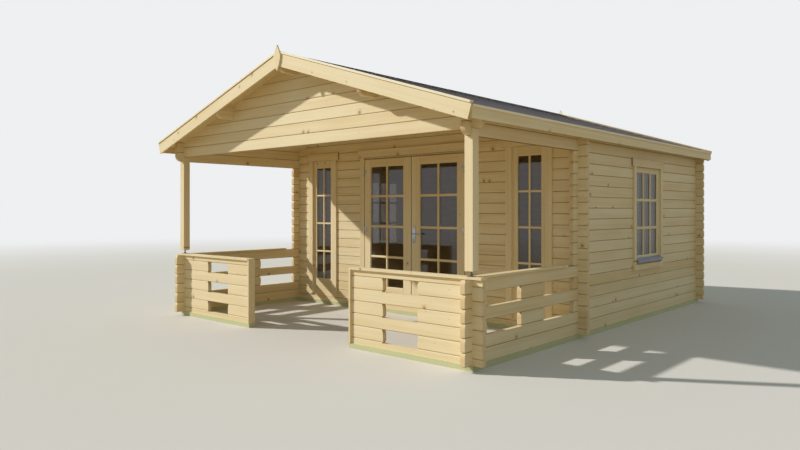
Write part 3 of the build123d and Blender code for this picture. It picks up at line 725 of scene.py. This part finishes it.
# Layouts of what repeats
class Layout(Finish):
    """Geometry Nodes that lay out a repeated piece, with named sizes."""

    def __init__(self, name, sizes):
        self.tree = bpy.data.node_groups.new(name, "GeometryNodeTree")
        self.tree.interface.new_socket("Geometry", in_out="INPUT", socket_type="NodeSocketGeometry")
        self.tree.interface.new_socket("Geometry", in_out="OUTPUT", socket_type="NodeSocketGeometry")
        self.sockets = {}
        self.sizes = dict(sizes)
        kinds = {int: "NodeSocketInt", float: "NodeSocketFloat", type(None): "NodeSocketMaterial"}
        for label, value in [*sizes.items(), ("Finish", None)]:
            socket = self.tree.interface.new_socket(label, in_out="INPUT", socket_type=kinds[type(value)])
            self.sockets[label] = socket.identifier
        self.given = Value(self, self.tree.nodes.new("NodeGroupInput").outputs[0])
        self.output = self.tree.nodes.new("NodeGroupOutput")

    def size(self, label):
        return self.given.other(label)

    def position(self):
        split = self.node("SeparateXYZ", (), self.node("GeometryNodeInputPosition"))
        return [split.other(axis) for axis in "XYZ"]

    def store(self, geometry, name, kind, domain, value):
        """Attribute that the pieces carry."""
        return self.node("GeometryNodeStoreNamedAttribute", {"data_type": kind, "domain": domain},
                         Geometry=geometry, Name=name, Value=value)

    def stored(self, name, kind):
        return self.node("GeometryNodeInputNamedAttribute", {"data_type": kind}, Name=name)

    def block(self, length, width, height, counts):
        """Block with points to shape; its own place is kept as the grain's lie."""
        made = self.node("GeometryNodeMeshCube", (), self.vector(length, width, height), *counts)
        return self.store(made, "lie", "FLOAT_VECTOR", "POINT", self.node("GeometryNodeInputPosition"))

    def row(self, step):
        """Points in a row along Y, Count of them."""
        return self.node("GeometryNodeMeshLine", {"mode": "OFFSET"}, Count=self.size("Count"),
                         Offset=self.vector(0.0, step, 0.0))

    def shaped(self, geometry, place):
        return self.node("GeometryNodeSetPosition", (), Geometry=geometry, Position=place)

    def spread(self, points, piece, **placing):
        """Copies of a piece on points, each with a number of its own, made real and given the finish."""
        copies = self.node("GeometryNodeInstanceOnPoints", (), Points=points, Instance=piece, **placing)
        number = self.node("FunctionNodeRandomValue", {"data_type": "FLOAT"},
                           ID=self.node("GeometryNodeInputIndex"), Seed=self.size("Seed"))
        number = Value(self, number.socket.node.outputs[1])
        copies = self.store(copies, "board", "FLOAT", "INSTANCE", number)
        real = self.node("GeometryNodeRealizeInstances", (), copies)
        done = self.node("GeometryNodeSetMaterial", (), Geometry=real, Material=self.size("Finish"))
        self.tree.links.new(done.socket, self.output.inputs[0])

    def made(self, name, finish, points=(), **sizes):
        """Mesh of the laid out pieces. points, each with its direction, are where they go if it asks."""
        start = bpy.data.meshes.new(name)
        start.from_pydata([place for place, _ in points], [], [])
        if points:
            directions = [number for _, direction in points for number in direction]
            start.attributes.new("direction", "FLOAT_VECTOR", "POINT").data.foreach_set("vector", directions)
        holder = bpy.data.objects.new(name, start)
        bpy.context.collection.objects.link(holder)
        modifier = holder.modifiers.new("layout", "NODES")
        modifier.node_group = self.tree
        given = {label.replace("_", " "): value for label, value in sizes.items()}
        for label, value in {**self.sizes, **given, "Finish": finish}.items():
            modifier[self.sockets[label]] = value
        seen = bpy.context.evaluated_depsgraph_get()
        mesh = bpy.data.meshes.new_from_object(holder.evaluated_get(seen), depsgraph=seen)
        holder.modifiers.remove(modifier)
        bpy.data.objects.remove(holder)
        return mesh


def turned_outward(mesh):
    """Merges a mesh's doubles and turns its faces outwards."""
    work = bmesh.new()
    work.from_mesh(mesh)
    bmesh.ops.remove_doubles(work, verts=work.verts, dist=0.00002)
    bmesh.ops.recalc_face_normals(work, faces=work.faces)
    work.to_mesh(mesh)
    work.free()
    return mesh


def board_layout():
    """A row of boards side by side, their long edges chamfered."""
    g = Layout("board_row", {"Count": 10, "Pitch": 0.11, "Width": 0.109, "Thickness": 0.02, "Length": 1.0,
                             "Chamfer": 0.003, "Seed": 1})
    width, thickness, chamfer = g.size("Width"), g.size("Thickness"), g.size("Chamfer")
    block = g.block(g.size("Length"), width, thickness, (2, 4, 2))
    x, y, z = g.position()
    edge = abs(y) > width * 0.4
    flat = width * 0.5 - chamfer
    shaped_y = edge * y + (1 - edge) * y.maths("SIGN") * flat
    shaped_z = z * (1 - edge * chamfer / (thickness * 0.5))
    g.spread(g.row(g.size("Pitch")), g.shaped(block, g.vector(x, shaped_y, shaped_z)))
    return g


# A tab's lap under the row above it is a share of what shows of the tab
tab_lap = 0.25
tab_rise = 0.0004
tab_slip = 0.003
narrowest_tab = 0.01


def shingle_layout():
    """Rows of tabs, each row lapped over the one below and shifted by half a tab."""
    g = Layout("shingle_rows", {"Rows": 17, "Tabs": 17, "Exposure": 0.143, "Length": 5.68, "Slot": 0.005,
                                "Butt": 0.0035, "Seed": 1})
    exposure, slot, butt = g.size("Exposure"), g.size("Slot"), g.size("Butt")
    tab_length = exposure * (1 + tab_lap)
    block = g.block(tab_length, 1.0, 1.0, (3, 4, 2))
    x, y, z = g.position()
    fall = x / tab_length + 0.5
    lift = (z > 0) * (fall * butt + tab_rise) - fall * 0.0002
    tab = g.shaped(block, g.vector(x, y, lift))
    per_row = g.size("Tabs") + 1
    points = g.node("GeometryNodePoints", (), Count=g.size("Rows") * per_row)
    index = g.node("GeometryNodeInputIndex")
    row = (index / per_row).floor()
    column = index - row * per_row
    pitch = g.size("Length") / g.size("Tabs")
    shift = (row / 2 - (row / 2).floor()) * pitch
    left = (column * pitch - shift).maths("MAXIMUM", 0.0)
    right = ((column + 1) * pitch - shift).maths("MINIMUM", g.size("Length"))
    wide = (right - left - slot).maths("MAXIMUM", 0.0)
    slip = (g.chance(row, column) - 0.5) * tab_slip
    placed = g.shaped(points, g.vector(row * exposure + slip, (left + right) / 2, row * 0.0))
    measured = g.store(placed, "wide", "FLOAT", "POINT", wide)
    kept = g.node("GeometryNodeDeleteGeometry", {"domain": "POINT"}, Geometry=measured,
                  Selection=wide < narrowest_tab)
    g.spread(kept, tab, Scale=g.vector(1.0, g.stored("wide", "FLOAT"), 1.0))
    return g


ridge_round = 0.02


def ridge_layout():
    """Caps bent over the ridge, each lapped over the next."""
    g = Layout("ridge_caps", {"Count": 28, "Exposure": 0.2, "Reach": 0.125, "Butt": 0.003, "Slope": 0.32,
                              "Seed": 1})
    exposure, reach, butt = g.size("Exposure"), g.size("Reach"), g.size("Butt")
    cap_length = exposure * 1.2
    block = g.block(reach * 2, cap_length, 1.0, (9, 2, 2))
    x, y, z = g.position()
    bend = ((x * x + ridge_round ** 2) ** 0.5 - ridge_round) * g.size("Slope")
    fall = y / cap_length + 0.5
    lap = (1 - fall) * butt * (1 - (x * x / (reach * reach)) * 0.8)
    shaped_z = (z > 0) * butt + lap - bend
    g.spread(g.row(exposure), g.shaped(block, g.vector(x, y, shaped_z)))
    return g


def screw_layout():
    """Countersunk heads with a recess, each turned to its direction."""
    g = Layout("screw_heads", {"Radius": 0.0036, "Rise": 0.0009, "Seed": 1})
    radius, rise = g.size("Radius"), g.size("Rise")
    crown, mouth, bottom = radius * 0.84, radius * 0.42, radius * 0.3
    floor_height = rise * 0.22

    def ring(low_radius, high_radius, depth):
        return g.node("GeometryNodeMeshCone", {"fill_type": "NONE"}, Vertices=8, Side_Segments=1,
                      Radius_Top=high_radius, Radius_Bottom=low_radius, Depth=depth)

    def disc(edge_radius):
        return g.node("GeometryNodeMeshCircle", {"fill_type": "NGON"}, Vertices=8, Radius=edge_radius)

    def moved(piece, height):
        return g.node("GeometryNodeTransform", (), Geometry=piece, Translation=g.vector(0.0, 0.0, height))

    outer = ring(radius, crown, rise)
    face = moved(ring(crown, mouth, rise * 0.02), rise)
    recess = moved(ring(bottom, mouth, rise * 0.8), floor_height)
    joined = g.tree.nodes.new("GeometryNodeJoinGeometry")
    for part in (outer, face, recess, moved(disc(bottom), floor_height), disc(radius)):
        g.tree.links.new(part.socket, joined.inputs[0])
    head = Value(g, joined.outputs[0])
    head = g.store(head, "lie", "FLOAT_VECTOR", "POINT", g.node("GeometryNodeInputPosition"))
    turn = g.node("FunctionNodeAlignRotationToVector", {"axis": "Z"},
                  Vector=g.stored("direction", "FLOAT_VECTOR"))
    g.spread(g.given, head, Rotation=turn)
    return g


# Boards of the floor and the roof
board_row = board_layout()
board_gap = 0.0008
board_end_gap = 0.006
floor_board_count = 38
roof_board_count = 52
boarding_reach = 2.3

low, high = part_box("room_floor")
pitch = (high.x - low.x) / floor_board_count
mesh = board_row.made("room_floor_boards", board_spruce, Count=floor_board_count, Pitch=pitch,
                      Width=pitch - board_gap, Thickness=high.z - low.z, Length=high.y - low.y,
                      Chamfer=0.0015, Seed=3)
middle = Vector((low.x + pitch / 2, (low.y + high.y) / 2, (low.z + high.z) / 2))
front_to_back = Matrix(((0, 1, 0, 0), (1, 0, 0, 0), (0, 0, 1, 0), (0, 0, 0, 1)))
mesh.transform(Matrix.Translation(middle) @ front_to_back)
piece = added_piece("room_floor_boards", turned_outward(mesh), "root")
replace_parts(piece, "room_floor")

pitch = (roof_end - roof_start) / roof_board_count
board_half = board_thickness / 2
for side, name in sides:
    mesh = board_row.made(f"{name}_roof_boarding", board_spruce, Count=roof_board_count, Pitch=pitch,
                          Width=pitch - board_gap, Thickness=board_thickness,
                          Length=boarding_reach / slope_cos - board_end_gap, Chamfer=0.003, Seed=5 + side)
    middle = roof_point(side, boarding_reach / 2 + board_half * slope_sin, roof_start + pitch / 2, 0)
    middle.z += board_half * slope_cos
    mesh.transform(Matrix.Translation(middle) @ slope_turn(side))
    piece = added_piece(f"{name}_roof_boarding", turned_outward(mesh), "root")
    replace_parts(piece, f"{name}_roof_boards")


# Shingles
chip_tones = ((0.172, 0.158, 0.182), (0.25, 0.23, 0.262), (0.39, 0.36, 0.39), (0.145, 0.133, 0.15))
cut_edge_tone = (0.05, 0.047, 0.055)


def mineral_shingles(name, shade=1.0, lower_edge=None):
    """Slate-grey chips pressed into bitumen, each tab of its own tone.
    lower_edge is where a tab's own lie ends, and gives it bare cut edges."""
    f = Finish(name)
    place = f.axes()
    lie = f.vector(place["X"], place["Y"], place["Z"])
    tone = f.node("Attribute", {"attribute_name": "board"}).other("Fac")
    chips = f.node("TexVoronoi", {"feature": "F1"}, Vector=lie, Scale=420.0, Randomness=1.0)
    speck = f.node("SeparateColor", (), chips.other("Color"))
    worn = f.noise(lie, 1.7, 4.0, 0.6)
    low, high, chip, dust = (tuple(part * shade for part in chip_tone) for chip_tone in chip_tones)
    color = f.mix(tone, low, high)
    color = f.mix(speck * 0.5, color, chip)
    color = f.mix(worn.smooth(0.45, 0.8) * 0.3, color, dust)
    if lower_edge:
        own = f.node("SeparateXYZ", (), f.node("Attribute", {"attribute_name": "lie"}).other("Vector"))
        lower_cut = own.other("X").smooth(lower_edge - 0.007, lower_edge - 0.004)
        side_cut = abs(own.other("Y")).smooth(0.486, 0.492)
        color = f.mix((lower_cut + side_cut).clamp() * 0.65, color, cut_edge_tone)
    normal = f.bump(speck, 0.0012, 0.7)
    return f.surface(color, 0.92, normal, Specular_IOR_Level=0.25)


paint(mineral_shingles("shingle_underlay", 0.35), "left_roof_covering", "right_roof_covering")
shingle_rows = shingle_layout()
row_count = 17
cover_reach = 2.322
cover_gap = 0.0003
exposure = cover_reach / slope_cos / row_count
tab_half = exposure * (1 + tab_lap) / 2
shingle_finish = mineral_shingles("slate_grey_shingles", lower_edge=tab_half)
for side, name in sides:
    mesh = shingle_rows.made(f"{name}_shingles", shingle_finish, Rows=row_count, Exposure=exposure,
                             Length=roof_end - roof_start, Seed=8 + side)
    start = roof_point(side, (exposure - tab_half) * slope_cos, roof_start, cover_top + cover_gap)
    mesh.transform(Matrix.Translation(start) @ slope_turn(side))
    added_piece(f"{name}_shingles", turned_outward(mesh), "root")

cap_count = 28
cap_end_gap = 0.02
cap_lift = 0.001
first_cap = 0.12
mesh = ridge_layout().made("ridge_caps", mineral_shingles("slate_grey_ridge"), Count=cap_count,
                           Exposure=(roof_end - roof_start - 2 * cap_end_gap) / cap_count, Slope=slope)
cap_height = roof_point(1, 0, 0, cover_top).z + cap_lift
mesh.transform(Matrix.Translation((0, roof_start + first_cap, cap_height)))
added_piece("ridge_caps", turned_outward(mesh), "root")


# Lever handles on both faces of the right leaf
handle_x = 0.046
lever_z = 0.994
plate_z = 0.98
plate_width = 0.048
plate_height = 0.2
plate_rise = 0.008
lock_drop = 0.052
lever_stand = 0.03
bend_radius = 0.014
grip_length = 0.092
neck_radius = 0.008
grip_across = 0.0056
grip_upright = 0.0092
tip_across = grip_across - 0.001
tip_upright = grip_upright - 0.001


def closed_rings(work, rings):
    """Skin over rings of points, closed at both ends."""
    made = [[work.verts.new(point) for point in ring] for ring in rings]
    for near, far in zip(made, made[1:]):
        for n in range(len(near)):
            after = (n + 1) % len(near)
            work.faces.new((near[n], near[after], far[after], far[n]))
    work.faces.new(made[0][::-1])
    work.faces.new(made[-1])


def plate_ring(inset, rise, width=plate_width, height=plate_height, z=plate_z, steps=10):
    """Outline of a plate with round ends, drawn in by an inset, at a rise over the leaf."""
    radius = width / 2 - inset
    straight = (height - width) / 2
    ring = []
    for end in (1, -1):
        for n in range(steps + 1):
            turn = math.pi * n / steps + (0 if end > 0 else math.pi)
            ring.append((handle_x + radius * math.cos(turn), door_face - rise,
                         z + end * straight + radius * math.sin(turn)))
    return ring


def lever_ring(place, heading, across, upright, steps=16):
    """Oval section of the lever, square to its heading."""
    side = Vector((-heading.y, heading.x, 0))
    turns = [2 * math.pi * n / steps for n in range(steps)]
    return [place + side * across * math.cos(turn) + z_axis * upright * math.sin(turn) for turn in turns]


def lever_rings():
    """Neck out of the plate, a bend and the grip that thins to its rounded end."""
    rings = []
    for rise, radius in ((0.006, 0.0125), (0.0105, 0.0125), (0.0115, 0.0115), (0.012, 0.0085),
                         (lever_stand, neck_radius)):
        rings.append(lever_ring(Vector((handle_x, door_face - rise, lever_z)), -y_axis, radius, radius))
    bend = Vector((handle_x + bend_radius, door_face - lever_stand, lever_z))
    for n in range(1, 7):
        turn = math.pi / 2 * n / 6
        place = bend + Vector((-math.cos(turn), -math.sin(turn), 0)) * bend_radius
        heading = Vector((math.sin(turn), -math.cos(turn), 0))
        rings.append(lever_ring(place, heading, neck_radius - 0.0004 * n, neck_radius + 0.0002 * n))
    for n in range(1, 9):
        part = n / 8
        sweep = part ** 2
        place = bend + Vector((grip_length * part, 0.006 * sweep - bend_radius, -0.002 * sweep))
        heading = Vector((1, 0.13 * part, 0)).normalized()
        rings.append(lever_ring(place, heading, grip_across - 0.001 * part, grip_upright - 0.001 * part))
    for turn in (0.4, 0.8, 1.2, 1.5):
        rounded = place + Vector((0.005 * math.sin(turn), 0, 0))
        rings.append(lever_ring(rounded, x_axis, tip_across * math.cos(turn),
                                tip_upright * math.cos(turn) + 0.0002))
    return rings


def lever_handles():
    """Plate, lever and lock on the leaf's outer face, and the same on its inner face."""
    work = bmesh.new()
    lock = {"width": 0.017, "height": 0.033, "z": plate_z - lock_drop}
    key = {"width": 0.0022, "height": 0.009, "z": plate_z - lock_drop + 0.006, "steps": 4}
    closed_rings(work, [plate_ring(0, 0), plate_ring(0, 0.0055), plate_ring(0.0008, 0.007),
                        plate_ring(0.0026, plate_rise)])
    closed_rings(work, lever_rings())
    closed_rings(work, [plate_ring(0, 0.007, **lock), plate_ring(0, 0.0105, **lock),
                        plate_ring(0.0008, 0.011, **lock)])
    closed_rings(work, [plate_ring(0, 0.0105, **key), plate_ring(0, 0.0114, **key)])
    inner = bmesh.ops.duplicate(work, geom=work.verts[:] + work.edges[:] + work.faces[:])["geom"]
    for vert in (part for part in inner if isinstance(part, bmesh.types.BMVert)):
        vert.co.y = door_face + leaf_back - vert.co.y
    for face in work.faces:
        face.smooth = len(face.verts) == 4
    return mesh_of(work, "handles")


handles = lever_handles()
handles.set_sharp_from_angle(angle=math.radians(40))
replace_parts(added_piece("lever_handles", handles, "right_leaf", satin_steel), "door_handle")


# Screws, by the body they ride on
screws = {"root": [], "left_leaf": [], "right_leaf": []}
front, back, upward = (0, -1, 0), (0, 1, 0), (0, 0, 1)
barge_x = (0.09, 0.6, 1.1, 1.6, 2.15, 2.27)
barge_out = (0.012, -0.062)
fascia_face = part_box("fascias")[1].x
fascia_z = (1.995, 2.045)
fascia_steps = 12
fascia_end = 0.08
rail_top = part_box("rail_caps")[1].z
cap_screw_step = 0.33
front_cap_x = 0.86
side_cap_start = 0.16
rail_end_face = 0.781
casing_x = (0.8415, 1.3725, 1.8515)
casing_z = (0.16, 0.7, 1.25, 1.8)
header_x = (0.03, 0.45, 0.87, 1.34, 1.885)
header_z = (1.978, 2.024)
window_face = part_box("right_window_frame")[1].x
window_casing_y = (0.5515, 1.3685)
window_casing_z = (0.62, 1.0, 1.38, 1.74, 1.806, 1.852)
hinge_face = door_face - 0.006
hinge_z = (0.312, 1.0285, 1.745)
hinge_screw_off = (0.012, 0.034)
leaf_hinge_x = 0.768
casing_hinge_x = 0.815
plate_screw = 0.086


def screw(place, direction, body="root"):
    screws[body].append((Vector(place), Vector(direction)))


for end, out in ((barge_front, front), (barge_rear, back)):
    for side in (-1, 1):
        for x in barge_x:
            for above in barge_out:
                screw(roof_point(side, x, end, above), out)
fascia_step = (roof_end - roof_start - 2 * fascia_end) / fascia_steps
for side, name in sides:
    outward, inward = (side, 0, 0), (-side, 0, 0)
    for n in range(fascia_steps + 1):
        for z in fascia_z:
            screw((side * fascia_face, roof_start + fascia_end + n * fascia_step, z), outward)
    for n in range(5):
        screw((side * (front_cap_x + n * cap_screw_step), front_log_middle, rail_top), upward)
        screw((side * side_log_middle, y_front + side_cap_start + n * cap_screw_step, rail_top), upward)
    for n in range(6):
        screw((side * rail_end_face, front_log_middle, base_height + (n + 0.5) * course), inward)
    for xs, levels in ((casing_x, casing_z), (header_x, header_z)):
        for x in xs:
            for z in levels:
                screw((side * x, door_face, z), front)
    for y in window_casing_y:
        for z in window_casing_z:
            screw((side * window_face, y, z), outward)
    for z in hinge_z:
        for off in hinge_screw_off:
            screw((side * leaf_hinge_x, hinge_face, z + off), front, f"{name}_leaf")
            screw((side * casing_hinge_x, hinge_face, z - off), front)
for z in (plate_z + plate_screw, plate_z - plate_screw):
    screw((handle_x, door_face - plate_rise, z), front, "right_leaf")
    screw((handle_x, leaf_back + plate_rise, z), back, "right_leaf")

screw_heads = screw_layout()
screw_zinc = coated_metal("bright_zinc_screws", (0.6, 0.58, 0.5), 0.4)
for body, places in screws.items():
    mesh = turned_outward(screw_heads.made(f"{body}_screw_heads", screw_zinc, points=places))
    added_piece(f"{body}_screw_heads", mesh, body)


# Nuts on the threaded rods under the posts
nut_bottom = 0.758
nut_top = 0.768
nut_radius = 0.0125
nut_chamfer = 0.0008
chamfer_height = 0.001


def foot_nut(work, x, y):
    """Six-sided nut with its corners chamfered, on the foot's rod."""
    turns = [math.pi * n / 3 for n in range(6)]
    rings = []
    for z, inset in ((nut_bottom, nut_chamfer), (nut_bottom + chamfer_height, 0),
                     (nut_top - chamfer_height, 0), (nut_top, nut_chamfer)):
        radius = nut_radius - inset
        rings.append([(x + radius * math.cos(turn), y + radius * math.sin(turn), z) for turn in turns])
    closed_rings(work, rings)


work = bmesh.new()
for side in (-1, 1):
    foot_nut(work, side * side_log_middle, front_log_middle)
added_piece("post_foot_nuts", mesh_of(work, "nuts"), "root", dark_zinc)

# Studio
floor_reach = 120
fade_start = 7.0
fade_end = 26.0
floor_tone = (0.70, 0.685, 0.67)
floor_light = (0.51, 0.41, 0.265)
backdrop_tone = (0.86, 0.87, 0.88, 1)
even_light = (0.90, 1.0, 0.95, 1)
even_strength = 0.37
sun_light = (1.0, 0.955, 0.87)
sun_strength = 3.55
sun_direction = (0.745, 0.443, -0.499)


class Surroundings(Finish):
    """The studio's world, whose nodes are added the same way."""

    def __init__(self, name):
        self.world = bpy.data.worlds.new(name)
        self.world.use_nodes = True
        self.tree = self.world.node_tree
        self.tree.nodes.clear()
        self.output = self.tree.nodes.new("ShaderNodeOutputWorld")


def seen_ray(f):
    """1 for what is seen straight, in a gloss or through glass, and 0 for the light on the object."""
    path = f.node("LightPath")
    through = path.other("Is Glossy Ray") + path.other("Is Transmission Ray")
    return (path.other("Is Camera Ray") + through).clamp()


def studio():
    """Floor that fades into a pale backdrop, an even light all round and one sun.
    The camera sees the floor in its own tone, and the light it throws back on the cabin is warmer."""
    floor_mesh = bpy.data.meshes.new("studio_floor")
    corners = [(x * floor_reach, y * floor_reach, 0) for x, y in ((-1, -1), (1, -1), (1, 1), (-1, 1))]
    floor_mesh.from_pydata(corners, [], [(0, 1, 2, 3)])
    floor = bpy.data.objects.new("studio_floor", floor_mesh)
    bpy.context.collection.objects.link(floor)
    f = Finish("studio_floor")
    place = f.axes()
    away = (place["X"] * place["X"] + place["Y"] * place["Y"]) ** 0.5
    seen = seen_ray(f)
    diffuse = f.node("BsdfDiffuse", (), f.mix(seen, floor_light, floor_tone))
    glow = f.node("Emission", (), backdrop_tone, 1.0)
    mixed = f.node("MixShader", (), away.smooth(fade_start, fade_end) * seen, diffuse, glow)
    f.tree.links.new(mixed.socket, f.output.inputs[0])
    floor_mesh.materials.append(f.material)

    surroundings = Surroundings("studio")
    light = surroundings.node("Background", (), even_light, even_strength)
    backdrop = surroundings.node("Background", (), backdrop_tone, 1.0)
    mixed = surroundings.node("MixShader", (), seen_ray(surroundings), light, backdrop)
    surroundings.tree.links.new(mixed.socket, surroundings.output.inputs[0])
    bpy.context.scene.world = surroundings.world

    sun = bpy.data.lights.new("key", "SUN")
    sun.energy = sun_strength
    sun.angle = math.radians(1.6)
    sun.color = sun_light
    lamp = bpy.data.objects.new("key", sun)
    lamp.rotation_euler = Vector(sun_direction).to_track_quat("-Z", "Y").to_euler()
    bpy.context.collection.objects.link(lamp)


studio()
bpy.context.scene.view_settings.view_transform = "Standard"
